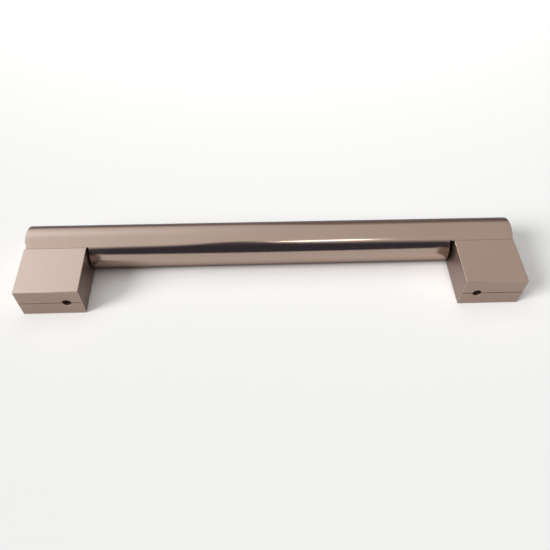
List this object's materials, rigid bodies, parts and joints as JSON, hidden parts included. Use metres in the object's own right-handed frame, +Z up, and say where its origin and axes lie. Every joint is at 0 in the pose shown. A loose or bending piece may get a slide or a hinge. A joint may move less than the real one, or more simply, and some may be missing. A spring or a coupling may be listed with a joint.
{
  "type": "cabinet pull",
  "caption": "Straight cabinet pull: a round anodised tube carried on flat block feet, each with a drill line and a tapped screw hole in its mounting face.",
  "frame": {"origin": "midway between the two screw holes, on the plane of the mounting faces", "axes": "+X along the bar, +Y out from the cabinet front to the grip, +Z up when mounted level"},
  "size_m": [0.197, 0.0367, 0.018],
  "materials": {
    "bar_finish": "polished, rose-bronze anodised",
    "foot_finish": "polished, rose-bronze anodised"
  },
  "bodies": {
    "root": {"bar": "bar_finish", "left_foot": "foot_finish", "right_foot": "foot_finish"}
  },
  "joints": []
}
